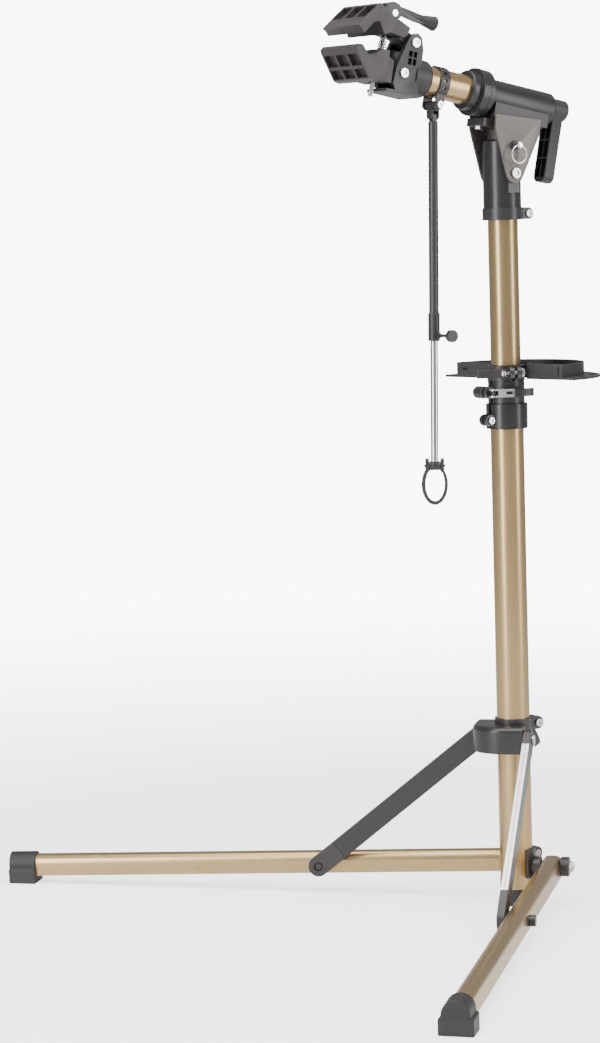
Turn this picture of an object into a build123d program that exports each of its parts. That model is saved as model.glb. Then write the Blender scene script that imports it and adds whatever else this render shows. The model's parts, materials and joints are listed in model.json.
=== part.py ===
from build123d import *
import os
from math import cos, pi, radians, sin

# Folding bike repair stand, millimetres, +Z up. The origin lies on the floor under the post,
# the XZ plane is the plane of symmetry of the legs, and the clamp points towards -X.

# Post: everything up to the head is drawn with the post vertical, then leaned towards -X.
LEAN = 1.3
LOWER_R = 20.0
LOWER_BORE = 18.8
UPPER_R = 18.0
UPPER_BORE = 16.5
UPPER_END = 90.0
UPPER_TOP = 905.0
FOOT_TOP = 21.6
LOWER_TOP = 604.0
RUN = 0.06
GAP = 0.3

# Split rings round the post: outer radius, bottom, top.
HUB_RING = (23.8, 35.0, 70.0)
COLLAR = (25.0, 582.0, 612.0)
HEIGHT_CLAMP = (22.0, 613.0, 639.0)
SLIDER_RING = (22.5, 196.0, 231.0)
TRAY_BAND = (22.5, 639.5, 658.0)
SLEEVE_RING = (24.2, 831.0, 845.5)
SLIT = 4.0
EAR_Y = 7.5
EAR_BOLT_R = 2.5
CAM_H = 9.6
HEIGHT_CAM = (-28.5, -14.2, 621.2)
SLIDER_EAR = (32.0, 221.5)
TRAY_EAR = (28.5, 649.5)
SLEEVE_EAR = (33.0, 838.0)
HUB_EAR = (26.5, 61.0)
COLLAR_EAR = (-29.0, 593.0)

# Legs: drawn along +X of a leg frame, mirrored to the other side.
LEG_HEADING = 224.0
PIVOT_AZ = 270.0 - LEG_HEADING
LEG_SLOPE = 1.4
LEG_PIVOT_Z = 47.5
LEG_LATERAL = 43.0
LEG_W = 24.0
LEG_H = 26.5
LEG_WALL = 1.6
LEG_END = 643.0
FOOT_START = 617.0
FOOT_END = 651.0
PIVOT_R = 4.0
CAP_R = 12.0
CAP_OUT = 65.0

# Struts: lower pivot on the leg, upper pivot on the slider.
STRUT_LATERAL = 24.0
STRUT_T = 8.6
STRUT_W = 25.0
STRUT_LOW = (250.0, -3.0)
STRUT_UP = (38.0, 209.0)
STRUT_CAP = 34.0
BUMPER_Z = (193.0, 225.0)
BUMPER_SIDE = 19.0
BUMPER_FAR = 48.0

# Tool tray on the upper tube.
TRAY_AZ = 12.0
TRAY_R = 84.0
TRAY_START = 5.0
TRAY_FLAT = 10.0
TRAY_Z = (641.0, 659.5)
TRAY_WALL = 2.5
TRAY_FLANGE = 19.0
TRAY_NOTCH = 28.5
TRAY_EAR_AZ = 255.0

# Folding head on top of the post.
SLEEVE_R = 22.6
SLEEVE_TOP = 926.0
HEAD_PIVOT_Z = 886.0
LATCH_Z = 918.5
PLATE_Y = (24.3, 27.3)
HEAD_Z = 974.1
HEAD_TILT = 11.6

# Head axis: u runs forward along it from the post's axis, v stands square to it.
BARREL_R = 20.5
BARREL_BORE = 17.6
BARREL_U = (-70.0, 27.5)
TUBE_R = 17.5
TUBE_BORE = 15.8
TUBE_U = (-20.0, 126.0)
INDEX_R = 28.5
INDEX_TEETH = 36
TOOTH_U = (33.0, 35.0)
INDEX_END = 44.0
DRAW_R = 4.0
HANDLE_U = (-95.5, -72.3)
STRAP_U = (87.5, 100.5)
STRAP_BOLT = (94.6, -26.0)
STRAP_EAR_Y = (11.0, 14.0)

# Clamp jaws, in the same (u, v) axes.
JAW_HALF = 38.0
ARM_HALF = 20.0
LUG_HALF = 12.6
FLANK_Y = (13.0, 20.0)
UPPER_PIVOT = (144.6, 36.5)
LOWER_PIVOT = (155.0, -1.0)
JAW_PIN_R = 3.5
JAW_POCKETS = (-24.5, 0, 24.5)
CAM_PIN = (172.6, 66.0)
BOLT_END = (184.0, -33.0)
CLAMP_BOLT_R = 3.0

# Handlebar rod: hangs straight down from the strap's bolt.
ROD_TOP = 952.0
ROD_R = 5.8
ROD_BORE = 4.6
ROD_LOW = 720.0
LOCK_R = 7.0
LOCK_Z = (689.0, 722.0)
SCREW_Z = 695.5
INNER_R = 4.5
INNER_Z = (543.4, 850.0)
YOKE_HALF = 6.4
LOOP_PIN_Z = 541.4
LOOP_PIN_R = 1.6
LOOP_Z = 495.0
LOOP_AZ = -33.0

os.makedirs("parts", exist_ok=True)

LEANED = Location((0, 0, 0), (0, -LEAN, 0))
HEAD = Plane(
    origin=(0, 0, HEAD_Z),
    x_dir=(-cos(radians(HEAD_TILT)), 0, sin(radians(HEAD_TILT))),
    z_dir=(sin(radians(HEAD_TILT)), 0, cos(radians(HEAD_TILT))),
)


def heading(azimuth):
    return (cos(radians(azimuth)), sin(radians(azimuth)), 0)


def leg_plane():
    """x runs out along the front leg's centre line, y is lateral, from the leg's pivot."""
    side = Vector(*heading(LEG_HEADING + 90)) * LEG_LATERAL
    along = Vector(*heading(LEG_HEADING))
    slope = radians(LEG_SLOPE)
    run = along * cos(slope) - Vector(0, 0, sin(slope))
    up = along * sin(slope) + Vector(0, 0, cos(slope))
    return Plane(origin=(side.X, side.Y, LEG_PIVOT_Z), x_dir=run, z_dir=up)


def strut_plane():
    """x runs forward along the leg's heading, y to its side, z up, from the post's foot."""
    return Plane(origin=(0, 0, 0), x_dir=heading(LEG_HEADING), z_dir=(0, 0, 1))


def rod(start, axis, length, radius, bore=0.0):
    """Round bar or tube from a start point along an axis."""
    plane = Plane(origin=start, z_dir=axis)
    shape = Cylinder(radius, length, align=(Align.CENTER, Align.CENTER, Align.MIN))
    if bore:
        shape -= Cylinder(bore, length, align=(Align.CENTER, Align.CENTER, Align.MIN))
    return plane * shape


def block(x, y, z):
    """Box between the pairs of limits x, y and z."""
    size = [pair[1] - pair[0] for pair in (x, y, z)]
    middle = [(pair[0] + pair[1]) / 2 for pair in (x, y, z)]
    return Location(middle) * Box(*size)


def slab(points, y):
    """Prism between two y limits, with its outline in the XZ plane."""
    face = Plane.XZ * make_face(Polyline(*points, close=True))
    return Location((0, y[1], 0)) * extrude(face, amount=y[1] - y[0], dir=(0, -1, 0))


def hexagon(start, axis, length, flats):
    plane = Plane(origin=start, z_dir=axis)
    return plane * extrude(RegularPolygon(flats / 2, 6, major_radius=False), amount=length)


def socket_screw(start, axis, length, radius, head_r, head_h):
    """Screw whose head starts at the start point and stands away from the axis direction."""
    shaft = rod(start, axis, length, radius)
    back = Vector(*axis) * -1
    head = rod(start, back, head_h, head_r)
    tip = Vector(*start) + back * head_h
    return shaft + head - hexagon(tip, axis, head_h * 0.6, head_r)


def save(name, shape, leaned=True):
    """Write one sub-part, leaned with the post unless it hangs free."""
    part = LEANED * shape if leaned else shape
    export_step(part, f"parts/{name}.step")
    return part


def split_ring(ring, bore, ear_x, ear_z, ear_r, opening=True):
    """Clamping ring round the post with a pair of ears along X, sliced by a slit."""
    radius, low, high = ring
    side = 1 if ear_x > 0 else -1
    body = rod((0, 0, low), (0, 0, 1), high - low, radius)
    ears = rod((ear_x, -EAR_Y, ear_z), (0, 1, 0), 2 * EAR_Y, ear_r)
    reach = sorted((side * bore, ear_x))
    ears += block(reach, (-EAR_Y, EAR_Y), (ear_z - ear_r, ear_z + ear_r))
    body += ears & block(sorted((0, side * 60)), (-EAR_Y, EAR_Y), (low, high))
    body -= rod((0, 0, low), (0, 0, 1), high - low, bore)
    if opening:
        slit_x = sorted((side * bore * 0.9, side * 60))
        body -= block(slit_x, (-SLIT / 2, SLIT / 2), (low, high))
    body -= rod((ear_x, -EAR_Y, ear_z), (0, 1, 0), 2 * EAR_Y, EAR_BOLT_R)
    return body


def ear_screw(ear_x, ear_z):
    screw = socket_screw((ear_x, -EAR_Y, ear_z), (0, 1, 0), 2 * EAR_Y + 3, EAR_BOLT_R, 4.2, 2.4)
    return screw + hexagon((ear_x, EAR_Y, ear_z), (0, 1, 0), 4, 8)


# Post

def post_foot():
    plug = Cone(17.5, LOWER_R, FOOT_TOP + 1, align=(Align.CENTER, Align.CENTER, Align.MIN))
    plug = Location((0, 0, -1)) * plug
    plug += rod((0, 0, FOOT_TOP), (0, 0, 1), 22, LOWER_BORE)
    plug -= rod((0, 0, FOOT_TOP - 8), (0, 0, 1), 30, LOWER_BORE - 3)
    return LEANED * plug - block((-60, 60), (-60, 60), (-10, 0))


def lower_tube():
    return rod((0, 0, FOOT_TOP), (0, 0, 1), LOWER_TOP - FOOT_TOP, LOWER_R, LOWER_BORE)


def guide_bush():
    return rod((0, 0, 556), (0, 0, 1), LOWER_TOP - 556, LOWER_BORE, UPPER_R + RUN)


def lower_collar():
    ring = split_ring(COLLAR, LOWER_R, *COLLAR_EAR, 7)
    lip = rod((0, 0, LOWER_TOP), (0, 0, 1), COLLAR[2] - LOWER_TOP, LOWER_R, UPPER_R + GAP)
    return ring + lip


def height_clamp():
    ring = split_ring(HEIGHT_CLAMP, UPPER_R + RUN, HEIGHT_CAM[0], HEIGHT_CAM[2] + CAM_H / 2, 7)
    neck = rod((0, 0, COLLAR[2]), (0, 0, 1), 1, UPPER_R + 3, UPPER_R + RUN)
    return ring + neck - block((-30, -15), (-SLIT / 2, SLIT / 2), (600, 640))


def height_skewer():
    x, y, z = HEIGHT_CAM
    middle = z + CAM_H / 2
    skewer = rod((x, y, middle), (0, 1, 0), EAR_Y + 12 - y, EAR_BOLT_R)
    skewer += Location(HEIGHT_CAM) * cam_eye(CAM_H)
    nut = rod((x, EAR_Y, middle), (0, 1, 0), 12, 7.4)
    flutes = 14
    for i in range(flutes):
        turn = 2 * pi * i / flutes
        nut -= rod((x + 7.7 * cos(turn), EAR_Y + 2, middle + 7.7 * sin(turn)), (0, 1, 0), 10, 0.9)
    return skewer + nut


def cam_drum(height):
    """Two cheeks of a quick-release cam that turn about Z on a pin."""
    return rod((0, 0, 0), (0, 0, 1), height, 6)


def cam_cut(height):
    """Room for the skewer's eye between the cheeks, and the pin's hole."""
    return rod((0, 0, 1.8), (0, 0, 1), height - 3.6, 7.2) + rod((0, 0, 0), (0, 0, 1), height, 1.5 + RUN)


def cam_eye(height):
    """End of a skewer: the eye between the cam's cheeks, with the cam's pin."""
    return rod((0, 0, 2.1), (0, 0, 1), height - 4.2, 3.6) + rod((0, 0, 0.2), (0, 0, 1), height - 0.4, 1.5)


def height_lever():
    x, y, z = HEIGHT_CAM
    line = ThreePointArc((x, y - 3.5), (-7, -31.5), (15, -33))
    arm = Location((0, 0, z)) * extrude(trace(line, line_width=3.6), amount=CAM_H)
    lever = Location(HEIGHT_CAM) * cam_drum(CAM_H) + arm
    lever -= Location(HEIGHT_CAM) * cam_cut(CAM_H)
    return lever - block((-20, -12), (-40, -12), (z + 3, z + 7))


# Hub, legs and struts

def hub_bracket():
    half = split_ring(HUB_RING, LOWER_R, *HUB_EAR, 8, opening=False)
    half -= block((HUB_RING[0] - 1, 60), (-SLIT / 2, SLIT / 2), (30, 75))
    half -= block((-40, 0), (-40, 40), (30, 75))
    for side in (PIVOT_AZ, -PIVOT_AZ):
        out = Vector(*heading(side))
        boss = rod(out * (LOWER_R - 4) + Vector(0, 0, LEG_PIVOT_Z), out, 14.7, 11.8)
        half += boss
    half -= rod((0, 0, 30), (0, 0, 1), 50, LOWER_R)
    for side in (PIVOT_AZ, -PIVOT_AZ):
        out = Vector(*heading(side))
        half -= rod(out * (LOWER_R + 1.5) + Vector(0, 0, LEG_PIVOT_Z), out, 12, PIVOT_R)
    return half


def base_bolts():
    """Leg pivot bolts with their nuts, and the screws of the hub and the lower collar."""
    parts = [ear_screw(*HUB_EAR), ear_screw(*COLLAR_EAR)]
    for side in (PIVOT_AZ, -PIVOT_AZ):
        out = Vector(*heading(side))
        foot = out * (LOWER_R + 1.5) + Vector(0, 0, LEG_PIVOT_Z)
        bolt = rod(foot, out, CAP_OUT + 6 - LOWER_R - 1.5, PIVOT_R)
        nut_at = out * CAP_OUT + Vector(0, 0, LEG_PIVOT_Z)
        parts.append(bolt + hexagon(nut_at, out, 4.5, 12))
    return Compound(parts)


def leg_pivot_caps():
    parts = []
    for side in (PIVOT_AZ, -PIVOT_AZ):
        out = Vector(*heading(side))
        face = LEG_LATERAL + LEG_W / 2 + GAP
        at = out * face + Vector(0, 0, LEG_PIVOT_Z)
        parts.append(rod(at, out, CAP_OUT - face, CAP_R, PIVOT_R))
    return Compound(parts)


def arch(width, height, x0, x1, base=None):
    """Bar along X with a flat underside and a round top."""
    r = width / 2
    low = -LEG_H / 2 if base is None else base
    top = low + height
    bar = block((x0, x1), (-r, r), (low, top - r))
    return bar + (rod((x0, 0, top - r), (1, 0, 0), x1 - x0, r) & block((x0, x1), (-r, r), (top - r, top)))


def leg_tube():
    outer = arch(LEG_W, LEG_H, -LEG_H / 2, LEG_END)
    inner = arch(LEG_W - 2 * LEG_WALL, LEG_H - 2 * LEG_WALL, -LEG_H / 2, LEG_END, LEG_WALL - LEG_H / 2)
    tube = outer - inner
    end = rod((0, -LEG_W / 2, 0), (0, 1, 0), LEG_W, LEG_H / 2)
    end += block((0, LEG_END), (-LEG_W / 2, LEG_W / 2), (-LEG_H / 2, LEG_H / 2))
    tube = tube & end
    tube -= rod((0, -LEG_W / 2, 0), (0, 1, 0), LEG_W, PIVOT_R + RUN)
    x, z = STRUT_LOW
    tube -= rod((x, -LEG_W / 2, z), (0, 1, 0), LEG_W, 3)
    return leg_plane() * tube


def leg_foot():
    crown = arch(31.5, 45, FOOT_START, FOOT_END, 16.2 - 45)
    shoulder = block((FOOT_START, FOOT_END), (-19, 19), (-30, -3))
    shoe = crown + fillet(shoulder.edges().filter_by(Axis.X).group_by(Axis.Z)[-1], 2)
    shoe -= arch(LEG_W, LEG_H, FOOT_START, LEG_END)
    shoe = LEANED * (leg_plane() * shoe)
    return shoe - block((-800, 800), (-800, 800), (-60, 0))


def leg_strut_nut():
    x, z = STRUT_LOW
    start = -LEG_W / 2
    bolt = rod((x, start, z), (0, 1, 0), LEG_W + 7, 3)
    cover = rod((x, LEG_W / 2, z), (0, 1, 0), 8, 6.5)
    return leg_plane() * (bolt + cover)


def strut_points():
    """Lower and upper strut pivots as (forward, height) in the strut frame."""
    slope = radians(LEG_SLOPE)
    x, z = STRUT_LOW
    low = (x * cos(slope) + z * sin(slope), LEG_PIVOT_Z - x * sin(slope) + z * cos(slope))
    return Vector(low[0], 0, low[1]), Vector(STRUT_UP[0], 0, STRUT_UP[1])


def strut_frame():
    """x runs up the strut from the lower pivot, y is lateral, z square to both."""
    low, high = strut_points()
    run = (high - low).normalized()
    plane = Plane(origin=low + Vector(0, STRUT_LATERAL, 0), x_dir=run, z_dir=run.cross(Vector(0, 1, 0)))
    return plane, (high - low).length


def place_strut(shape):
    plane, _ = strut_frame()
    return strut_plane() * (plane * shape)


def strut_bar():
    _, length = strut_frame()
    half = STRUT_W / 2
    t = STRUT_T / 2
    bar = block((STRUT_CAP, length - 16), (-t, t), (-half, half))
    for side in (1, -1):
        groove = sorted((side * half, side * (half - 0.8)))
        bar -= block((STRUT_CAP, length - 16), (-0.6, 0.6), groove)
    bar -= block((STRUT_CAP, length - 16), (-t + 1.4, t - 1.4), (-half + 2.2, half - 2.2))
    return place_strut(bar)


def strut_caps():
    _, length = strut_frame()
    half = STRUT_W / 2
    t = STRUT_T / 2 + 0.3
    low = rod((0, -t, 0), (0, 1, 0), 2 * t, half) + block((0, STRUT_CAP), (-t, t), (-half, half))
    low += rod((0, t, 0), (0, 1, 0), LEG_LATERAL - LEG_W / 2 - GAP - STRUT_LATERAL - t, 7)
    low -= rod((0, -t, 0), (0, 1, 0), 3, 5.5)
    low += rod((0, -t + 1, 0), (0, 1, 0), 2, 4)
    high = rod((length, -t, 0), (0, 1, 0), 2 * t, half)
    high += block((length - 16, length), (-t, t), (-half, half))
    high -= rod((length, -t, 0), (0, 1, 0), 2 * t, PIVOT_R + RUN)
    return place_strut(Compound([low, high]))


def slider_body():
    far = BUMPER_FAR
    near = BUMPER_SIDE - 1
    height = BUMPER_Z[1] - BUMPER_Z[0]
    block_uv = block((-near, far), (-near, far), BUMPER_Z)
    corner = [e for e in block_uv.edges().filter_by(Axis.Z) if e.center().X > 0 and e.center().Y > 0]
    body = fillet(corner, 40)
    body = Rotation(0, 0, 135) * body
    body -= block((0, 100), (-100, 100), (BUMPER_Z[0], BUMPER_Z[1]))
    top = body.faces().sort_by(Axis.Z)[-1].edges()
    outer = [e for e in top if e.center().X < -14]
    body = fillet(outer, 6)
    body -= rod((0, 0, BUMPER_Z[0]), (0, 0, 1), height, SLIDER_RING[0])
    for sign in (1, -1):
        at, out = upper_pivot(sign)
        body -= rod(at - out * 10, out, 30, PIVOT_R)
    return body


def upper_pivot(sign):
    """Point on the bumper's flank at the upper strut pivot, and its outward direction."""
    along = Vector(*heading(LEG_HEADING))
    out = Vector(*heading(LEG_HEADING + 90))
    at = along * STRUT_UP[0] + out * BUMPER_SIDE + Vector(0, 0, STRUT_UP[1])
    return Vector(at.X, sign * at.Y, at.Z), Vector(out.X, sign * out.Y, 0)


def slider_bolts():
    """Strut pivot bolts and the skewer through the slider ring's ears."""
    x, z = SLIDER_EAR
    skewer = socket_screw((x, -EAR_Y, z), (0, 1, 0), 2 * EAR_Y + 6.5, EAR_BOLT_R, 4.6, 3)
    parts = [skewer + slider_cam_plane() * (Location((0, 0, -CAM_H / 2)) * cam_eye(CAM_H))]
    for sign in (1, -1):
        at, out = upper_pivot(sign)
        bolt = rod(at - out * 10, out, 22, PIVOT_R)
        parts.append(bolt + rod(at + out * 10.3, out, 2.4, 6.5))
    return Compound(parts)


def slider_ring():
    return split_ring(SLIDER_RING, LOWER_R + RUN, *SLIDER_EAR, 8)


def slider_cam_plane():
    """x runs down along the slider's lever and z along the cam's pin."""
    x, z = SLIDER_EAR
    hang = radians(60)
    return Plane(
        origin=(x, EAR_Y + 6.5, z), x_dir=(cos(hang), 0, -sin(hang)), z_dir=(-sin(hang), 0, -cos(hang))
    )


def slider_lever():
    line = Spline((0, 0), (14, -3.5), (26, -4), (38, -8))
    arm = extrude(trace(line, line_width=4), amount=CAM_H)
    lever = cam_drum(CAM_H) + arm - cam_cut(CAM_H)
    return slider_cam_plane() * (Location((0, 0, -CAM_H / 2)) * lever)


# Upper tube and tray

def upper_tube():
    tube = rod((0, 0, UPPER_END), (0, 0, 1), UPPER_TOP - UPPER_END, UPPER_R, UPPER_BORE)
    return tube - rod((0, -30, HEAD_PIVOT_Z), (0, 1, 0), 60, 4)


def tray_bush():
    return rod((0, 0, TRAY_Z[0] - 0.5), (0, 0, 1), 18, 19.4, UPPER_R + RUN)


def tray_turned(shape):
    """Turn a piece drawn with its ears along +X towards the tray's lever side."""
    return Rotation(0, 0, TRAY_EAR_AZ) * shape


def tray_band():
    band = split_ring(TRAY_BAND, 19.46, *TRAY_EAR, 7)
    band = tray_turned(band)
    out = Vector(*heading(TRAY_AZ))
    web = Rotation(0, 0, TRAY_AZ) * block((18, TRAY_NOTCH + 1), (-7, 7), (643, 656))
    web &= rod((0, 0, 640), (0, 0, 1), 20, TRAY_NOTCH, TRAY_BAND[0] - 1)
    screw = rod(out * (TRAY_NOTCH - 2) + Vector(0, 0, TRAY_EAR[1]), out, 6.8, 2)
    return band + web + screw


def tray_cam():
    """Place of the tray's cam, with the lever running towards -Y before it is turned."""
    return Location((TRAY_EAR[0], -EAR_Y - 6.5, TRAY_EAR[1] - CAM_H / 2), (0, 0, 90))


def tray_skewer():
    x, z = TRAY_EAR
    skewer = rod((x, -EAR_Y - 6.5, z), (0, 1, 0), 2 * EAR_Y + 11.5, EAR_BOLT_R)
    skewer += hexagon((x, EAR_Y, z), (0, 1, 0), 4, 9) + tray_cam() * cam_eye(CAM_H)
    return tray_turned(skewer)


def tray_lever():
    line = ThreePointArc((0, 0), (-17, -1.5), (-32, 0.5))
    arm = extrude(trace(line, line_width=4), amount=CAM_H)
    tip = rod((-32, 0.5, 0), (0, 0, 1), CAM_H, 2)
    lever = arm + tip + cam_drum(CAM_H) - cam_cut(CAM_H)
    return tray_turned(tray_cam() * lever)


def tray_outline(offset):
    """D-shaped face: a short straight run, then a half circle, pushed out by an offset."""
    r = TRAY_R + offset
    start = TRAY_START
    bend = TRAY_START + TRAY_FLAT
    edges = [
        Line((start, -r), (bend, -r)),
        ThreePointArc((bend, -r), (bend + r, 0), (bend, r)),
        Line((bend, r), (start, r)),
        Line((start, r), (start, -r)),
    ]
    return make_face(edges)


def tray_shell():
    low, high = TRAY_Z
    wall = TRAY_WALL
    shell = Location((0, 0, low)) * extrude(tray_outline(0), amount=high - low)
    inside = Location((0, 0, low + wall)) * extrude(tray_outline(-wall), amount=high - low)
    shell -= inside & block((TRAY_START + wall, 200), (-200, 200), (low, high + 5))
    flange = Location((0, 0, low)) * extrude(tray_outline(TRAY_FLANGE), amount=3)
    slots = 9
    for i in range(slots):
        angle = -80 + 160 * i / (slots - 1)
        slot = extrude(SlotOverall(22, 8, rotation=90), amount=10)
        at = Location((TRAY_START + TRAY_FLAT, 0, low - 2)) * Rotation(0, 0, angle)
        flange -= at * (Location((TRAY_R + TRAY_FLANGE / 2 + 0.5, 0, 0)) * slot)
    shell += flange
    shell += rod((0, 0, low), (0, 0, 1), high - low, TRAY_NOTCH + wall) & block(
        (TRAY_START, 60), (-60, 60), (low, high)
    )
    shell -= rod((0, 0, low - 1), (0, 0, 1), high - low + 2, TRAY_NOTCH)
    shell -= rod((TRAY_NOTCH - 1, 0, TRAY_EAR[1]), (1, 0, 0), 6, 2)
    shell -= block((TRAY_START - 1, TRAY_START + wall + 1), (66, 74), (650, 653))
    shell -= block((TRAY_START - 1, TRAY_START + 1), (-80, -77), (low + 4, high - 3))
    return Rotation(0, 0, TRAY_AZ) * shell


# Folding head

def post_sleeve():
    low = SLEEVE_RING[1]
    sleeve = rod((0, 0, low), (0, 0, 1), SLEEVE_TOP - low, SLEEVE_R)
    sleeve = fillet(sleeve.faces().sort_by(Axis.Z)[-1].edges(), 3)
    sleeve += block((-8, 8), (-24, 24), (863, 897))
    sleeve -= rod((0, 0, low), (0, 0, 1), UPPER_TOP - low, UPPER_R)
    sleeve -= rod((0, -30, HEAD_PIVOT_Z), (0, 1, 0), 60, 4)
    return sleeve - rod((0, -15.5, LATCH_Z), (0, -1, 0), 20, 3 + RUN)


def sleeve_ring():
    return split_ring(SLEEVE_RING, SLEEVE_R, *SLEEVE_EAR, 7.2)


def sleeve_bolts():
    """Bolt that the head folds on, and the screw of the sleeve's ring."""
    bolt = socket_screw((0, -PLATE_Y[1] - GAP, HEAD_PIVOT_Z), (0, 1, 0), 58, 4, 6.2, 3)
    bolt += hexagon((0, PLATE_Y[1] + GAP, HEAD_PIVOT_Z), (0, 1, 0), 5, 11)
    return Compound([bolt, ear_screw(*SLEEVE_EAR)])


def fork_bracket():
    outline = [(-26, 955.7), (39.4, 947.9), (37, 930.7), (11.5, 882), (-11.6, 882.6), (-27, 940)]
    near = slab(outline, (PLATE_Y[0], PLATE_Y[1]))
    near += rod((0, PLATE_Y[0], 886.2), (0, 1, 0), PLATE_Y[1] - PLATE_Y[0], 12.1)
    near -= rod((0, PLATE_Y[0], HEAD_PIVOT_Z), (0, 1, 0), 3, 4 + RUN)
    far = mirror(near, about=Plane.XZ)
    near -= rod((0, PLATE_Y[0], LATCH_Z), (0, 1, 0), 3, 3 + RUN)
    web = HEAD * block((-38, 8), (-PLATE_Y[0], PLATE_Y[0]), (-27.4, -24.4))
    return mirror(near, about=Plane.XZ) + mirror(far, about=Plane.XZ) + web


def saddle_block():
    saddle = block((-60, 19.3), (-20, 20), (-24.4, -8))
    saddle += block((8.5, 19.3), (-17, 17), (-38, -24.4))
    saddle += block((19.3, 31), (-17, 17), (-38, -29))
    saddle -= rod((-70, 0, 0), (1, 0, 0), 100, BARREL_R)
    saddle -= rod((24, 0, -40), (0, 0, 1), 12, 3)
    return HEAD * saddle


def saddle_screws():
    screw = rod((24, 0, -38), (0, 0, 1), 9, 3)
    screw += hexagon((24, 0, -41.5), (0, 0, 1), 3.5, 10)
    return HEAD * screw


def head_barrel():
    low, high = BARREL_U
    barrel = rod((low, 0, 0), (1, 0, 0), high - low, BARREL_R)
    barrel = fillet(barrel.edges().sort_by(Axis.X)[0], 2.5)
    barrel += rod((high, 0, 0), (1, 0, 0), TOOTH_U[0] - high, INDEX_R)
    barrel += index_teeth(TOOTH_U[0], 0.0)
    barrel -= rod((low + 4, 0, 0), (1, 0, 0), 120, BARREL_BORE)
    barrel -= rod((low, 0, 0), (1, 0, 0), 10, DRAW_R + RUN)
    return HEAD * barrel


def index_teeth(base, grow):
    """Ring of face teeth that stand forward of the base plane, grown all over by a clearance."""
    inner = 23.5
    outer = INDEX_R
    height = TOOTH_U[1] - TOOTH_U[0] + grow
    half = (1.3 + grow, 0.6 + grow)
    points = [(base, -half[0]), (base + height, -half[1]), (base + height, half[1]), (base, half[0])]
    teeth = []
    for i in range(INDEX_TEETH):
        tooth = extrude(make_face(Polyline(*points, close=True)), amount=outer + 1)
        tooth = Rotation(360 / INDEX_TEETH * i, 0, 0) * tooth
        teeth.append(tooth)
    hoop = rod((base, 0, 0), (1, 0, 0), height, outer + grow, inner - grow)
    return Compound([hoop & tooth for tooth in teeth])


def index_ring():
    ring = rod((TOOTH_U[0] + GAP, 0, 0), (1, 0, 0), INDEX_END - TOOTH_U[0] - GAP, INDEX_R)
    ring += rod((INDEX_END, 0, 0), (1, 0, 0), 11, 23.5)
    ring = fillet(ring.edges().sort_by(Axis.X)[-1], 1.5)
    ring -= index_teeth(TOOTH_U[0], 0.3)
    ring -= rod((20, 0, 0), (1, 0, 0), 50, TUBE_R)
    return HEAD * ring


def head_tube():
    low, high = TUBE_U
    return HEAD * rod((low, 0, 0), (1, 0, 0), high - low, TUBE_R, TUBE_BORE)


def draw_nut():
    return HEAD * rod((14, 0, 0), (1, 0, 0), 12, TUBE_BORE, DRAW_R + RUN)


def head_handle():
    low, high = HANDLE_U
    hub = rod((low, 0, 3), (1, 0, 0), high - low, 13)
    hub = fillet(hub.edges().sort_by(Axis.X)[0], 3)
    arm = block((-87.5, -73), (-11, 11), (-86, 3))
    arm = fillet(arm.edges().filter_by(Axis.X).group_by(Axis.Z)[0], 8)
    handle = hub + arm
    for low_v, high_v in ((-80, -58), (-56, -36), (-34, -16)):
        for low_y, high_y in ((-8.5, -0.9), (0.9, 8.5)):
            handle -= block((-83.5, -72), (low_y, high_y), (low_v, high_v))
    handle -= rod((high - 14, 0, 0), (1, 0, 0), 20, DRAW_R)
    return HEAD * handle


def draw_bolt():
    return HEAD * rod((HANDLE_U[1] - 14, 0, 0), (1, 0, 0), 112, DRAW_R)


def latch_housing():
    return rod((0, -PLATE_Y[1], LATCH_Z), (0, -1, 0), 5, 5.6, 3 + RUN)


def latch_pin():
    knob = rod((0, -32.6, LATCH_Z), (0, -1, 0), 7.6, 4.2)
    knob = fillet(knob.edges(), 2)
    knob -= rod((-6, -36.2, LATCH_Z), (1, 0, 0), 12, 2)
    return knob + rod((0, -SLEEVE_R - GAP, LATCH_Z), (0, -1, 0), 10.2, 3)


def latch_ring():
    return Location((0, -36.2, LATCH_Z - 10.5), (90, 0, 0)) * Torus(10.5, 0.9)


# Clamp

def clamp_body():
    hub = rod((113, 0, 0), (1, 0, 0), 24, 22)
    hub = fillet(hub.edges().sort_by(Axis.X)[0], 4)
    floor = block((130, 176), (-ARM_HALF, ARM_HALF), (-26, -22.5))
    back = block((132, 138), (-ARM_HALF, ARM_HALF), (-23, 22))
    body = hub + floor + back
    outline = [(132, -26), (162, -26), (168, -14), (166, 4), (155.5, 36), (151, 45)]
    outline += [(143, 48), (136.5, 44), (132, 30)]
    for side in (1, -1):
        flank = slab(outline, sorted((side * FLANK_Y[0], side * FLANK_Y[1])))
        for low_v, high_v in ((10, 17.5), (19, 26)):
            for low_u, high_u in ((140, 145), (146.5, 151.5)):
                skin = sorted((side * (FLANK_Y[0] + 2.5), side * (FLANK_Y[1] + 5)))
                flank -= block((low_u, high_u), skin, (low_v, high_v))
        body += flank
    body -= rod((112, 0, 0), (1, 0, 0), TUBE_U[1] - 112, TUBE_R)
    for u, v in (UPPER_PIVOT, LOWER_PIVOT):
        body -= rod((u, -30, v), (0, 1, 0), 60, JAW_PIN_R)
    return HEAD * body


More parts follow.
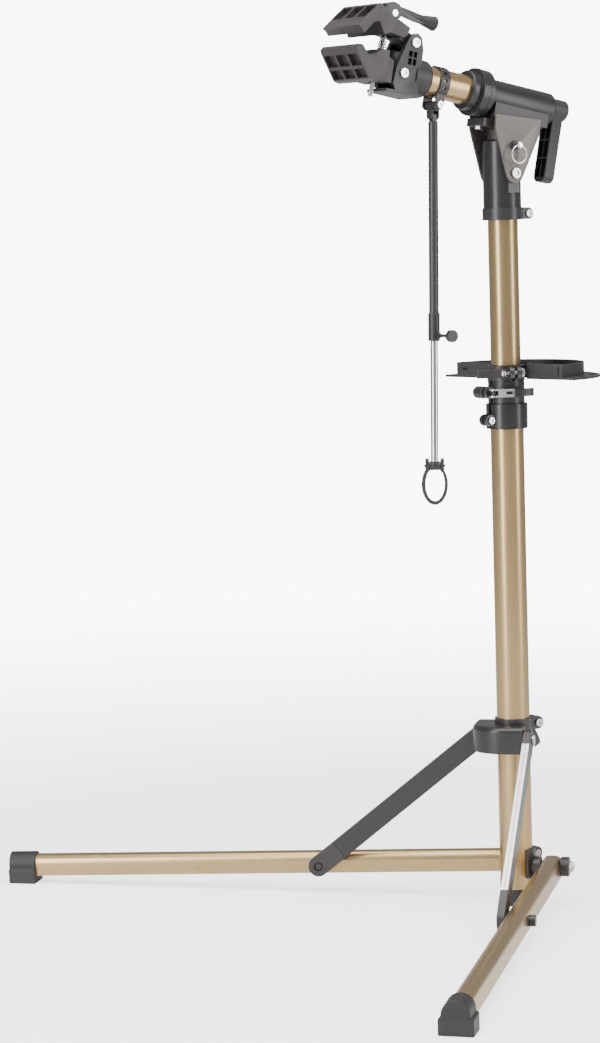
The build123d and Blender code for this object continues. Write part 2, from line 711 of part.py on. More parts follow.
def clamp_screws():
    """Screws that the two jaws turn on, and the strap's screw."""
    u, v = STRAP_BOLT
    screw = socket_screw((u, STRAP_EAR_Y[1], v), (0, -1, 0), 2 * STRAP_EAR_Y[1] + 1, EAR_BOLT_R, 4.2, 2.4)
    parts = [screw + hexagon((u, -STRAP_EAR_Y[1], v), (0, -1, 0), 3.2, 8)]
    for u, v in (UPPER_PIVOT, LOWER_PIVOT):
        screw = socket_screw((u, ARM_HALF, v), (0, -1, 0), 2 * ARM_HALF + 2, JAW_PIN_R, 5.4, 2.2)
        parts.append(screw + hexagon((u, -ARM_HALF, v), (0, -1, 0), 3, 9))
    return HEAD * Compound(parts)


def upper_jaw():
    lip = [(237.4, 37), (233.3, 34.8), (228.1, 29.8), (216.9, 44.5)]
    lip += [(209.3, 47.1), (200.7, 33.4), (190.4, 38.8)]
    crest = [(186, 52), (201, 62.7), (212, 67.8), (221.4, 57)]
    jaw = slab(lip + crest, (-JAW_HALF, JAW_HALF))
    arm = [(158, 41.5), (162.7, 39.1), (182.3, 41), (195, 44), (201, 62.7), (169.8, 57.5), (154, 51.5)]
    jaw += slab(arm, (-ARM_HALF, ARM_HALF))
    lug = [(UPPER_PIVOT[0], 28.6), (164, 38.5), (164, 53), (UPPER_PIVOT[0], 45.4)]
    jaw += slab(lug, (-LUG_HALF, LUG_HALF))
    u, v = UPPER_PIVOT
    jaw += rod((u, -LUG_HALF, v), (0, 1, 0), 2 * LUG_HALF, 8.6)
    jaw -= rod((u, -LUG_HALF, v), (0, 1, 0), 2 * LUG_HALF, JAW_PIN_R + RUN)
    for y in JAW_POCKETS:
        jaw -= slab([(216.5, 66.4), (229.5, 50.6), (222.4, 44.8), (209.4, 60.6)], (y - 10.2, y + 10.2))
    jaw -= block((165, 186), (-5.5, 5.5), (30, 80))
    jaw -= rod((CAM_PIN[0], -12.5, CAM_PIN[1]), (0, 1, 0), 25, 14.3)
    return HEAD * jaw


def lower_jaw():
    lip = [(236.2, 11.6), (233.2, 16.4), (228.2, 16.6), (218.6, 7.1), (209.9, 8.8), (200.3, 17.4), (190, 17)]
    base = [(190, -8), (204.5, -21.5), (212, -20), (234.5, 8)]
    jaw = slab(lip + base, (-JAW_HALF, JAW_HALF))
    jaw += slab([(174.5, -17), (196, -17), (196, 17), (190, 17), (174.5, 8.7)], (-26, 26))
    u, v = LOWER_PIVOT
    jaw += slab([(u, -8), (176, -16), (176, 7), (u, 8)], (-LUG_HALF, LUG_HALF))
    jaw += rod((u, -LUG_HALF, v), (0, 1, 0), 2 * LUG_HALF, 8.4)
    jaw -= rod((u, -LUG_HALF, v), (0, 1, 0), 2 * LUG_HALF, JAW_PIN_R + RUN)
    for y in JAW_POCKETS:
        jaw -= slab([(233.5, 4), (224.3, -7.4), (218.1, -2.4), (227.3, 9)], (y - 10.2, y + 10.2))
        jaw -= slab([(221.7, -10.7), (214.5, -19.7), (208.3, -14.7), (215.5, -5.7)], (y - 10.2, y + 10.2))
    jaw -= block((174.3, 190), (-5.5, 5.5), (-40, 40))
    return HEAD * jaw


def bolt_line():
    pin = Vector(CAM_PIN[0], 0, CAM_PIN[1])
    end = Vector(BOLT_END[0], 0, BOLT_END[1])
    return pin, end, (end - pin).normalized()


def clamp_bolt():
    pin, end, down = bolt_line()
    bolt = rod(pin, down, (end - pin).length, CLAMP_BOLT_R)
    bolt += rod((pin.X, -11.5, pin.Z), (0, 1, 0), 23, 4)
    return HEAD * bolt


def clamp_spring():
    """Coil round the bolt between the jaws."""
    pin, end, down = bolt_line()
    coil = Helix(pitch=3.2, height=22, radius=4.6)
    plane = Plane(origin=pin + down * 30, z_dir=down)
    start = coil @ 0
    wire_face = Plane(origin=start, z_dir=coil % 0) * Circle(0.7)
    return HEAD * (plane * sweep(wire_face, path=coil))


def cam_lever():
    """Eccentric head on the bolt's cross pin, with a tapered arm and a flared end."""
    u, v = CAM_PIN
    head = rod((u, -12, v), (0, 1, 0), 24, 8.2)
    cheek = [(u - 7.5, v - 3), (u - 8.5, v + 5), (u - 4, v + 11), (u + 4, v + 12.6)]
    cheek += [(u + 11, v + 8), (u + 13.3, v + 3), (u + 8, v - 2)]
    head += slab(cheek, (-12, 12))
    head -= block((u - 9, u + 15), (-6.8, 6.8), (v - 12, v + 8.6))
    arm = [(u + 2, v + 8.7), (u + 2, v + 12), (u - 8, v + 10.5), (136, 73.5)]
    arm += [(126, 71.5), (126, 63.5), (136, 64), (u - 10, v + 2)]
    stem = slab(arm, (-4.5, 4.5))
    knob = Plane(origin=(134, 0, 68.5), z_dir=(-1, 0, -0.06)) * Cone(
        4.6, 9.2, 26, align=(Align.CENTER, Align.CENTER, Align.MIN)
    )
    knob = fillet(knob.edges().sort_by(Axis.X)[0], 2)
    head -= rod((u, -20, v), (0, 1, 0), 40, 4 + RUN)
    return HEAD * (head + stem + knob)


# Handlebar rod

def rod_strap():
    low, high = STRAP_U
    strap = rod((low, 0, 0), (1, 0, 0), high - low, TUBE_R + 2.2)
    u, v = STRAP_BOLT
    for side in (1, -1):
        ear_y = sorted((side * STRAP_EAR_Y[0], side * STRAP_EAR_Y[1]))
        ear = rod((u, ear_y[0], v), (0, 1, 0), ear_y[1] - ear_y[0], 5.9)
        ear += block((u - 5.9, u + 5.9), ear_y, (v, -12))
        strap += ear
    strap -= block((low, high), (-STRAP_EAR_Y[0], STRAP_EAR_Y[0]), (-30, -10))
    strap -= rod((low, 0, 0), (1, 0, 0), high - low, TUBE_R)
    holes = 9
    for i in range(holes):
        hole = block((low + 4.5, high - 4.5), (-1.6, 1.6), (TUBE_R - 1, TUBE_R + 4))
        strap -= Rotation(-112 + 28 * i, 0, 0) * hole
    strap -= rod((u, -20, v), (0, 1, 0), 40, EAR_BOLT_R)
    return HEAD * strap


def strap_point():
    """The strap bolt's centre after the post has been leaned."""
    u, v = STRAP_BOLT
    tilt = radians(HEAD_TILT)
    x = -u * cos(tilt) + v * sin(tilt)
    z = HEAD_Z + u * sin(tilt) + v * cos(tilt)
    lean = radians(LEAN)
    return x * cos(lean) - z * sin(lean), x * sin(lean) + z * cos(lean)


def rod_clevis():
    x, z = strap_point()
    clevis = rod((x, -9, z), (0, 1, 0), 18, 5)
    clevis += block((x - 5.6, x + 5.6), (-5.5, 5.5), (z - 12, z))
    clevis += rod((x - 5.6, 0, z - 12), (1, 0, 0), 11.2, 5.5)
    clevis -= block((x - 3.3, x + 3.3), (-7, 7), (z - 18, z - 7))
    clevis -= rod((x, -10, z), (0, 1, 0), 20, EAR_BOLT_R + RUN)
    return clevis + rod((x - 5.6, 0, z - 12), (1, 0, 0), 11.2, 1.8)


def rod_outer():
    x, z = strap_point()
    top = z - 19
    tube = rod((x, 0, ROD_LOW), (0, 0, 1), top - ROD_LOW, ROD_R)
    eye = block((x - 3, x + 3), (-4, 4), (top - 2, z - 12))
    eye += rod((x - 3, 0, z - 12), (1, 0, 0), 6, 4)
    tube += eye
    tube -= rod((x - 8, 0, z - 12), (1, 0, 0), 16, 1.8 + RUN)
    return tube - rod((x, 0, ROD_LOW), (0, 0, 1), top - 6 - ROD_LOW, ROD_BORE)


def rod_lock_sleeve():
    x, _ = strap_point()
    low, high = LOCK_Z
    sleeve = rod((x, 0, low), (0, 0, 1), high - low, LOCK_R)
    sleeve = fillet(sleeve.edges(), 1)
    sleeve -= rod((x, 0, ROD_LOW - 0.001), (0, 0, 1), 10, ROD_R)
    sleeve -= rod((x, 0, low), (0, 0, 1), 60, ROD_BORE)
    return sleeve - rod((x, 0, SCREW_Z), (0, -1, 0), 20, 2 + RUN)


def rod_screw():
    x, _ = strap_point()
    screw = rod((x, -5, SCREW_Z), (0, -1, 0), 30, 2)
    screw += rod((x, -8, SCREW_Z), (0, -1, 0), 3, 3.6)
    screw += rod((x, -33, SCREW_Z), (0, -1, 0), 6, 7.3)
    return screw


def rod_inner():
    x, _ = strap_point()
    return rod((x, 0, INNER_Z[0]), (0, 0, 1), INNER_Z[1] - INNER_Z[0], INNER_R)


def loop_placed(shape):
    x, _ = strap_point()
    return Location((x, 0, 0), (0, 0, LOOP_AZ)) * shape


def loop_yoke():
    """Block pinned on the end of the rod; the strap's ears turn on its cross pin."""
    yoke = rod((-YOKE_HALF, 0, LOOP_PIN_Z), (1, 0, 0), 2 * YOKE_HALF, 5.4)
    yoke += rod((0, 0, LOOP_PIN_Z), (0, 0, 1), 5.2, YOKE_HALF)
    yoke -= rod((0, 0, INNER_Z[0]), (0, 0, 1), 30, INNER_R)
    return loop_placed(yoke + rod((-12.6, 0, LOOP_PIN_Z), (1, 0, 0), 25.2, LOOP_PIN_R))


def loop_strap():
    """Strap loop with two stiff ears that hang on the yoke's pin."""
    middle = (LOOP_Z + LOOP_PIN_Z) / 2 + 1
    half = (LOOP_PIN_Z - LOOP_Z) / 2 + 1
    outline = Ellipse(15.6, half) - Pos(0.4, 0.3) * Ellipse(11.4, half - 4)
    upright = Plane(origin=(0, 0, middle), x_dir=(1, 0, 0), z_dir=(0, -1, 0))
    hoop = upright * extrude(outline, amount=3.4, both=True)
    hoop -= block((-30, 30), (-20, 20), (LOOP_PIN_Z - 2, 700))
    hoop -= rod((-YOKE_HALF - GAP, 0, LOOP_PIN_Z), (1, 0, 0), 2 * (YOKE_HALF + GAP), 5.8)
    for side in (1, -1):
        ear_x = sorted((side * (YOKE_HALF + GAP), side * 11.2))
        hoop += block(ear_x, (-3.4, 3.4), (LOOP_PIN_Z - 7, LOOP_PIN_Z + 5.6))
        hoop += rod((ear_x[0], 0, LOOP_PIN_Z + 5.6), (1, 0, 0), ear_x[1] - ear_x[0], 3.4)
    hoop -= rod((-20, 0, LOOP_PIN_Z), (1, 0, 0), 40, LOOP_PIN_R + RUN)
    return loop_placed(hoop)


LEG_PARTS = {
    "tube": leg_tube,
    "strut_nut": leg_strut_nut,
}
STRUT_PARTS = {
    "bar": strut_bar,
    "caps": strut_caps,
}
POST_PARTS = [
    lower_tube, guide_bush, lower_collar, height_clamp, height_skewer, height_lever,
    hub_bracket, base_bolts, leg_pivot_caps,
    slider_body, slider_ring, slider_bolts, slider_lever,
    upper_tube, tray_bush, tray_band, tray_skewer, tray_lever, tray_shell,
    post_sleeve, sleeve_ring, sleeve_bolts, fork_bracket, saddle_block, saddle_screws,
    head_barrel, index_ring, head_tube, draw_nut, head_handle, draw_bolt,
    latch_housing, latch_pin, latch_ring,
    clamp_body, clamp_screws, upper_jaw, lower_jaw, clamp_bolt, clamp_spring, cam_lever,
    rod_strap,
]
HANGING_PARTS = [rod_clevis, rod_outer, rod_lock_sleeve, rod_screw, rod_inner, loop_yoke, loop_strap]

for make in POST_PARTS:
    save(make.__name__, make())
for make in HANGING_PARTS:
    save(make.__name__, make(), leaned=False)
save("post_foot", post_foot(), leaned=False)
foot = leg_foot()
save("leg_front_foot", foot, leaned=False)
save("leg_left_foot", mirror(foot, about=Plane.XZ), leaned=False)
for kind, pieces in (("leg", LEG_PARTS), ("strut", STRUT_PARTS)):
    for name, make in pieces.items():
        piece = make()
        save(f"{kind}_front_{name}", piece)
        save(f"{kind}_left_{name}", mirror(piece, about=Plane.XZ))
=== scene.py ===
# %% [markdown]
# A folding bike repair stand, dressed for its portrait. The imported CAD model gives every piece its
# place and size. This script gives the pieces soft edges, finishes and fine detail, and never moves them.

# %% Frame
import json
from math import radians

import bmesh
import bpy
from mathutils import Matrix, Vector


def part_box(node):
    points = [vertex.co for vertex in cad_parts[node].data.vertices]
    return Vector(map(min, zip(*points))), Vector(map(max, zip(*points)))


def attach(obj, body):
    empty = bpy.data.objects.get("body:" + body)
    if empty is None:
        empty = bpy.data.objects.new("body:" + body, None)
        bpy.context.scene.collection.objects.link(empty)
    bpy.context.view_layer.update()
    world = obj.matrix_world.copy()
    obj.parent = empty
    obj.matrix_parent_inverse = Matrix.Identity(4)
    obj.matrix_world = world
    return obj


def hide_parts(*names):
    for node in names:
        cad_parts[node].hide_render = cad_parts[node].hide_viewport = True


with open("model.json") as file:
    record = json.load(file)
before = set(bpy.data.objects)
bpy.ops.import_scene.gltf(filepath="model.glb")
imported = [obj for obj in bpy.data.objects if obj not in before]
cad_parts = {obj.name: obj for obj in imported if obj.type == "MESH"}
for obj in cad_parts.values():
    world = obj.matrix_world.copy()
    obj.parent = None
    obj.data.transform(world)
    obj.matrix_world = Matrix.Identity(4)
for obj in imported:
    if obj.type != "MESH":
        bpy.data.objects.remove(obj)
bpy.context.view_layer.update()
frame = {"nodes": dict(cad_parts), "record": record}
nodes = frame["nodes"]
behaviour = frame["record"]["behaviour"]
body_of_node = {node: body for body, members in behaviour["bodies"].items() for node in members}
joint_of = {joint["name"]: joint for joint in behaviour["joints"]}

# %% [markdown]
# The view is that of a product portrait: a long lens far from the stand, a little below its clamp.
# A long lens keeps upright tubes almost parallel, which is why catalogues use one.

# %% Camera
CAMERA_AT = Vector((-2.288, -3.069, 0.815))
CAMERA_AIM = Vector((0.5395, 0.8372, -0.0898)).normalized()
CAMERA_ROLL = radians(-0.51)
LENS_MM = 109.7
SENSOR_MM = 36.0

camera = bpy.data.objects.new("camera", bpy.data.cameras.new("camera"))
bpy.context.scene.collection.objects.link(camera)
camera.data.sensor_fit = "VERTICAL"
camera.data.sensor_height = SENSOR_MM
camera.data.lens = LENS_MM
turn = CAMERA_AIM.to_track_quat("-Z", "Y").to_matrix().to_4x4()
camera.matrix_world = Matrix.Translation(CAMERA_AT) @ turn @ Matrix.Rotation(CAMERA_ROLL, 4, "Z")
bpy.context.scene.camera = camera
print("lens", LENS_MM, "mm,", round(CAMERA_AT.length, 2), "m from the foot of the post")

# %% [markdown]
# Studio light for black plastic and satin metal is mostly large white panels: their reflections draw
# the shape. One tall panel to the left gives tubes their broad highlight, a second one fills the right.

# %% Light and floor
# WORLD_LIGHT is what the room adds to the object; BACKDROP_LIGHT is how bright the backdrop looks.
WORLD_LIGHT = 0.42
BACKDROP_LIGHT = 9.0
FLOOR_HALF = 7.0
PANELS = {
    "left_panel": {"at": (-2.6, -0.5, 1.3), "aim": (0, 0, 0.6), "size": (0.7, 2.6), "power": 70},
    "right_panel": {"at": (1.5, -2.2, 1.2), "aim": (0, 0, 0.6), "size": (0.5, 2.2), "power": 34},
    "top_panel": {"at": (-0.4, -0.6, 3.0), "aim": (0, 0, 0.5), "size": (2.6, 2.6), "power": 150},
}

world = bpy.data.worlds.new("studio")
bpy.context.scene.world = world
world.use_nodes = True
background = world.node_tree.nodes["Background"]
background.inputs["Color"].default_value = (1, 1, 1, 1)
sight = world.node_tree.nodes.new("ShaderNodeLightPath")
level = world.node_tree.nodes.new("ShaderNodeMapRange")
level.inputs["To Min"].default_value = WORLD_LIGHT
level.inputs["To Max"].default_value = BACKDROP_LIGHT
world.node_tree.links.new(sight.outputs["Is Camera Ray"], level.inputs["Value"])
world.node_tree.links.new(level.outputs["Result"], background.inputs["Strength"])


def panel(name, at, aim, size, power):
    """A rectangle of light at one place, turned to face another; size in metres, power in watts."""
    light = bpy.data.lights.new(name, "AREA")
    light.shape = "RECTANGLE"
    light.size, light.size_y = size
    light.energy = power
    holder = bpy.data.objects.new(name, light)
    bpy.context.scene.collection.objects.link(holder)
    aim_at = (Vector(aim) - Vector(at)).to_track_quat("-Z", "Y").to_matrix().to_4x4()
    holder.matrix_world = Matrix.Translation(at) @ aim_at


def floor_plane():
    mesh = bpy.data.meshes.new("floor")
    corners = [(x * FLOOR_HALF, y * FLOOR_HALF, 0) for x, y in ((-1, -1), (1, -1), (1, 1), (-1, 1))]
    mesh.from_pydata(corners, [], [(0, 1, 2, 3)])
    plane = bpy.data.objects.new("floor", mesh)
    bpy.context.scene.collection.objects.link(plane)
    return plane


for panel_name, panel_values in PANELS.items():
    panel(panel_name, **panel_values)
floor = floor_plane()

# %% [markdown]
# Shader sums are easier to read as Python than as a web of nodes. The small class below wraps one
# socket, and each operator adds the Math node that does the same.


# %% Shader expressions
# Pointiness is 0.5 on a flat face and more on an outside edge.
WEAR_FROM = 0.53
WEAR_GAIN = 14


class Sum:
    """A value socket in a material, with arithmetic that adds Math nodes."""

    def __init__(self, tree, socket):
        self.tree = tree
        self.socket = socket

    def maths(self, operation, *values):
        node = self.tree.add("ShaderNodeMath", {"operation": operation}, values)
        return Sum(self.tree, node.outputs[0])

    def __add__(self, other):
        return self.maths("ADD", self, other)

    def __radd__(self, other):
        return self.maths("ADD", other, self)

    def __sub__(self, other):
        return self.maths("SUBTRACT", self, other)

    def __rsub__(self, other):
        return self.maths("SUBTRACT", other, self)

    def __mul__(self, other):
        return self.maths("MULTIPLY", self, other)

    def __rmul__(self, other):
        return self.maths("MULTIPLY", other, self)

    def above(self, level):
        return self.maths("GREATER_THAN", self, level)

    def clamp(self):
        node = self.tree.add("ShaderNodeClamp", {}, [self, 0.0, 1.0])
        return Sum(self.tree, node.outputs[0])


class Finish:
    """One material under construction."""

    def __init__(self, name):
        self.material = bpy.data.materials.new(name)
        self.material.use_nodes = True
        self.nodes = self.material.node_tree.nodes
        self.links = self.material.node_tree.links
        self.shader = self.nodes["Principled BSDF"]
        self.place = self.add("ShaderNodeTexCoord", {}, [])

    def add(self, kind, settings, values):
        node = self.nodes.new(kind)
        for key, value in settings.items():
            setattr(node, key, value)
        pairs = values.items() if isinstance(values, dict) else enumerate(values)
        for key, value in pairs:
            self.feed(node.inputs[key], value)
        return node

    def feed(self, socket, value):
        if isinstance(value, Sum):
            self.links.new(value.socket, socket)
        elif isinstance(value, bpy.types.NodeSocket):
            self.links.new(value, socket)
        else:
            socket.default_value = value

    def set(self, **values):
        for name, value in values.items():
            self.feed(self.shader.inputs[name.replace("_", " ")], value)

    def noise(self, scale, detail, stretch=(1, 1, 1)):
        """Noise on object coordinates, scale in features per metre; a low stretch draws it out."""
        place = self.place.outputs["Object"]
        mapped = self.add("ShaderNodeMapping", {}, {"Vector": place, "Scale": stretch})
        values = {"Vector": mapped.outputs[0], "Scale": scale, "Detail": detail}
        node = self.add("ShaderNodeTexNoise", {}, values)
        return Sum(self, node.outputs["Fac"])

    def blend(self, mask, low, high):
        """Colour from low to high as the mask goes from 0 to 1."""
        node = self.add("ShaderNodeMix", {"data_type": "RGBA"}, {"Factor": mask})
        node.inputs[6].default_value = (*low, 1)
        node.inputs[7].default_value = (*high, 1)
        return node.outputs[2]

    def bump(self, height, depth_mm, strength):
        values = {"Strength": strength, "Distance": depth_mm / 1000, "Height": height}
        node = self.add("ShaderNodeBump", {}, values)
        self.links.new(node.outputs[0], self.shader.inputs["Normal"])

    def wear(self):
        """1 on worn outside edges, 0 elsewhere, from the mesh's own pointiness."""
        geometry = self.add("ShaderNodeNewGeometry", {}, [])
        edge = Sum(self, geometry.outputs["Pointiness"])
        return ((edge - WEAR_FROM) * WEAR_GAIN).clamp()


# %% [markdown]
# Anodised aluminium is a dyed clear oxide over bright metal. It is a metal to the light, its colour
# tints the highlight, and a fine drawn grain along the tube spreads that highlight sideways.


# %% Tube finish
BRONZE_DARK = (0.36, 0.25, 0.115)
BRONZE_LIGHT = (0.50, 0.365, 0.19)
# How far the drawn grain is stretched out along X, Y and Z.
UPRIGHT_GRAIN = (1, 1, 0.03)
LEG_GRAIN = (0.3, 0.3, 1)


def bronze_tube(name, grain):
    finish = Finish(name)
    drawn = finish.noise(260, 3, grain)
    cloud = finish.noise(7, 2)
    mask = (drawn * 0.35 + cloud * 0.65).clamp()
    finish.set(
        Base_Color=finish.blend(mask, BRONZE_DARK, BRONZE_LIGHT),
        Metallic=0.92,
        Roughness=0.24 + 0.1 * drawn,
    )
    finish.bump(drawn, 0.008, 0.3)
    return finish.material


tube_upright = bronze_tube("bronze_upright", UPRIGHT_GRAIN)
tube_leg = bronze_tube("bronze_leg", LEG_GRAIN)
print("tube finishes made")

# %% [markdown]
# Moulded glass-filled nylon has an even, slightly pebbled skin. It is black, yet its surface reflects
# a white room, so roughness and bump matter more than the base colour. Corners polish with handling.


# %% Plastics
def moulded(name, base, rough, pebble_mm, grain):
    """Black moulded skin, with pebbles this deep, and grain of them to the metre."""
    finish = Finish(name)
    pebble = finish.noise(grain, 2)
    cloud = finish.noise(18, 3)
    edge = finish.wear()
    lighter = tuple(min(1.0, c * 2.2 + 0.012) for c in base)
    finish.set(
        Base_Color=finish.blend((cloud * 0.35 + edge * 0.5).clamp(), base, lighter),
        Roughness=rough + 0.1 * cloud - 0.08 * edge,
    )
    finish.bump(pebble, pebble_mm, 0.45)
    return finish.material


nylon = moulded("nylon", (0.014, 0.0115, 0.0115), 0.38, 0.03, 900)
nylon_fine = moulded("nylon_fine", (0.010, 0.0085, 0.0090), 0.27, 0.01, 1400)
pad_rubber = moulded("jaw_plastic", (0.021, 0.017, 0.017), 0.42, 0.04, 700)
shoe_rubber = moulded("shoe_rubber", (0.008, 0.0075, 0.0075), 0.5, 0.05, 600)
tray_plastic = moulded("tray_plastic", (0.013, 0.013, 0.0145), 0.42, 0.03, 800)
strap_web = moulded("strap_web", (0.016, 0.013, 0.013), 0.55, 0.18, 420)

# %% [markdown]
# Steel here comes plated bright or powder coated black. The fork plates are black powder coat too, with
# their colour lifted to a brown-grey as a painted sheen, the light that they reflect. The coats have a
# faint orange peel; the plating has only fine polish marks.


# %% Metals
def polish_marks(finish):
    return finish.noise(420, 4, (1, 1, 0.2))


def plated(name, base, rough):
    finish = Finish(name)
    polish = polish_marks(finish)
    low = tuple(c * 0.8 for c in base)
    finish.set(
        Base_Color=finish.blend(polish, low, base),
        Metallic=1.0,
        Roughness=rough + 0.12 * polish,
    )
    finish.bump(polish, 0.006, 0.3)
    return finish.material


def powder_coat(name, base, rough, metallic):
    finish = Finish(name)
    peel = finish.noise(650, 2)
    cloud = finish.noise(25, 3)
    edge = finish.wear()
    bare = tuple(min(1.0, c * 1.9 + 0.03) for c in base)
    finish.set(
        Base_Color=finish.blend((edge * 0.7 + cloud * 0.15).clamp(), base, bare),
        Metallic=metallic,
        Roughness=rough + 0.08 * cloud,
    )
    finish.bump(peel, 0.02, 0.4)
    return finish.material


chrome = plated("chrome", (0.80, 0.79, 0.78), 0.1)
zinc = plated("zinc", (0.70, 0.68, 0.66), 0.22)


# The bare steel gives way to the grip at this share of the lever's length, over about 6 mm.
GRIP_FROM = 0.42
GRIP_GAIN = 160


def half_coated(name, steel, coat, turn_x):
    """Pressed lever: bare steel near its cam, a black grip beyond the line at turn_x."""
    finish = Finish(name)
    at = finish.add("ShaderNodeSeparateXYZ", {}, [finish.place.outputs["Object"]])
    grip = ((Sum(finish, at.outputs["X"]) - turn_x) * GRIP_GAIN + 0.5).clamp()
    polish = polish_marks(finish)
    finish.set(
        Base_Color=finish.blend(grip, steel, coat),
        Metallic=1 - grip,
        Roughness=0.22 + 0.12 * polish + 0.1 * grip,
    )
    finish.bump(polish, 0.006, 0.3)
    return finish.material


lever_low, lever_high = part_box("height_lever")
grip_x = lever_low[0] + GRIP_FROM * (lever_high[0] - lever_low[0])
lever_steel = half_coated("lever_steel", (0.72, 0.70, 0.68), (0.012, 0.010, 0.010), grip_x)
black_coat = powder_coat("black_coat", (0.017, 0.015, 0.016), 0.3, 0.0)
# The fork plates are black powder coat whose colour is lifted to brown-grey: a painted sheen.
fork_coat_and_sheen = powder_coat("fork_coat_and_sheen", (0.075, 0.064, 0.060), 0.36, 0.3)

# %% [markdown]
# A studio sweep has no horizon: the paper curves up behind the object. A flat floor does the same
# if it turns as bright as the backdrop with distance, while near the object it still takes a shadow.

# %% Floor paper
FADE_START = 0.9
FADE_END = 3.2
NEAR_GLOW = (0.2, 0.2, 0.2)


def floor_paper():
    finish = Finish("floor_paper")
    tone = finish.noise(3, 2)
    at = finish.add("ShaderNodeVectorMath", {"operation": "LENGTH"}, [finish.place.outputs["Object"]])
    away = (Sum(finish, at.outputs["Value"]) - FADE_START) * (1 / (FADE_END - FADE_START))
    glow = finish.blend(away.clamp(), NEAR_GLOW, (1, 1, 1))
    seen = finish.add("ShaderNodeLightPath", {}, [])
    shown = finish.add("ShaderNodeMix", {"data_type": "RGBA"}, {"Factor": seen.outputs["Is Camera Ray"]})
    shown.inputs[6].default_value = (0, 0, 0, 1)
    finish.links.new(glow, shown.inputs[7])
    finish.set(
        Base_Color=finish.blend(tone, (0.90, 0.90, 0.90), (0.93, 0.93, 0.93)),
        Roughness=0.7,
        Emission_Color=shown.outputs[2],
        Emission_Strength=BACKDROP_LIGHT,
    )
    return finish.material


floor.data.materials.append(floor_paper())

# %% [markdown]
# A strut is an extruded bar with a groove down each edge. It has black paint on its broad faces, and on
# its two narrow edges a painted reflection of the white room, set as bright metal. The material finds the
# edges from the direction that a face points in, on the bar itself.


# %% Strut paint and painted reflection
LEG_NAME = {1: "left", -1: "front"}
STRUT_BLACK = (0.016, 0.0145, 0.0155)
# The narrow edges' light pinkish metal colour is a painted reflection of the white room.
STRUT_PAINTED_REFLECTION = (0.66, 0.61, 0.60)
# A face is an edge when the square of its slope towards the edges' way is above this.
EDGE_FACING = 0.55


def strut_paint_and_reflection(name, edge_way):
    """edge_way is the direction that the bar's narrow edges face."""
    finish = Finish(name)
    ways = [finish.place.outputs["Normal"], edge_way]
    slope = finish.add("ShaderNodeVectorMath", {"operation": "DOT_PRODUCT"}, ways)
    facing = Sum(finish, slope.outputs["Value"])
    # bright picks out the narrow edges, which get the painted reflection.
    bright = (facing * facing).above(EDGE_FACING)
    drawn = finish.noise(500, 2)
    finish.set(
        Base_Color=finish.blend(bright, STRUT_BLACK, STRUT_PAINTED_REFLECTION),
        Metallic=bright * 0.95,
        Roughness=0.3 + 0.08 * drawn,
    )
    finish.bump(drawn, 0.01, 0.3)
    return finish.material


def strut_edge_way(side):
    """Square to the strut, in the upright plane that it swings in; side is -1 for the front leg."""
    low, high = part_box(f"strut_{LEG_NAME[side]}_bar")
    reach = Vector(high) - Vector(low)
    along = Vector((-reach.x, side * reach.y, -reach.z)).normalized()
    sideways = Vector((reach.y, side * reach.x, 0)).normalized()
    return tuple(along.cross(sideways).normalized())


strut_left = strut_paint_and_reflection("strut_left_paint_and_reflection", strut_edge_way(1))
strut_front = strut_paint_and_reflection("strut_front_paint_and_reflection", strut_edge_way(-1))

# %% [markdown]
# CAD edges are perfectly sharp, and real ones never are. Each node is copied, its loose triangles
# are merged, and a narrow bevel rounds the edges, so that every corner catches a thin line of light.

# %% Soft edges
FINISHES = {
    tube_upright: ["lower_tube", "upper_tube", "head_tube"],
    tube_leg: ["leg_left_tube", "leg_front_tube"],
    shoe_rubber: ["post_foot", "leg_left_foot", "leg_front_foot"],
    nylon_fine: ["slider_body", "head_barrel", "post_sleeve", "lower_collar", "index_ring"],
    pad_rubber: ["upper_jaw", "lower_jaw"],
    tray_plastic: ["tray_shell"],
    chrome: ["latch_pin", "latch_ring", "rod_inner", "clamp_bolt", "clamp_spring", "clamp_screws"],
    zinc: [
        "base_bolts", "slider_bolts", "sleeve_bolts", "saddle_screws", "tray_skewer", "draw_bolt",
    ],
    lever_steel: ["height_lever"],
    strap_web: ["loop_strap"],
    black_coat: [
        "rod_outer", "rod_strap", "slider_lever", "sleeve_ring", "slider_ring", "height_clamp",
        "tray_band", "hub_bracket", "height_skewer", "latch_housing",
    ],
    fork_coat_and_sheen: ["fork_bracket"],
    strut_left: ["strut_left_bar"],
    strut_front: ["strut_front_bar"],
}
finish_of = {node: material for material, members in FINISHES.items() for node in members}
EDGE_MM = {
    "upper_jaw": 0.9, "lower_jaw": 0.9, "head_handle": 1.2, "clamp_body": 0.9, "cam_lever": 0.8,
    "slider_body": 0.8, "leg_left_foot": 1.2, "leg_front_foot": 1.2, "tray_shell": 0.5,
    "fork_bracket": 0.4, "saddle_block": 0.8, "head_barrel": 0.25, "index_ring": 0.25,
}
OTHER_EDGE_MM = 0.3
MERGE_WITHIN = 2e-6
FLAT_BELOW = radians(0.6)
SHARP_ABOVE = radians(32)


def linked(name, mesh):
    piece = bpy.data.objects.new(name, mesh)
    bpy.context.scene.collection.objects.link(piece)
    return piece


def applied(piece):
    """The piece's mesh with its modifiers applied and removed."""
    ready = bpy.data.meshes.new_from_object(piece.evaluated_get(bpy.context.evaluated_depsgraph_get()))
    piece.modifiers.clear()
    piece.data = ready
    return piece


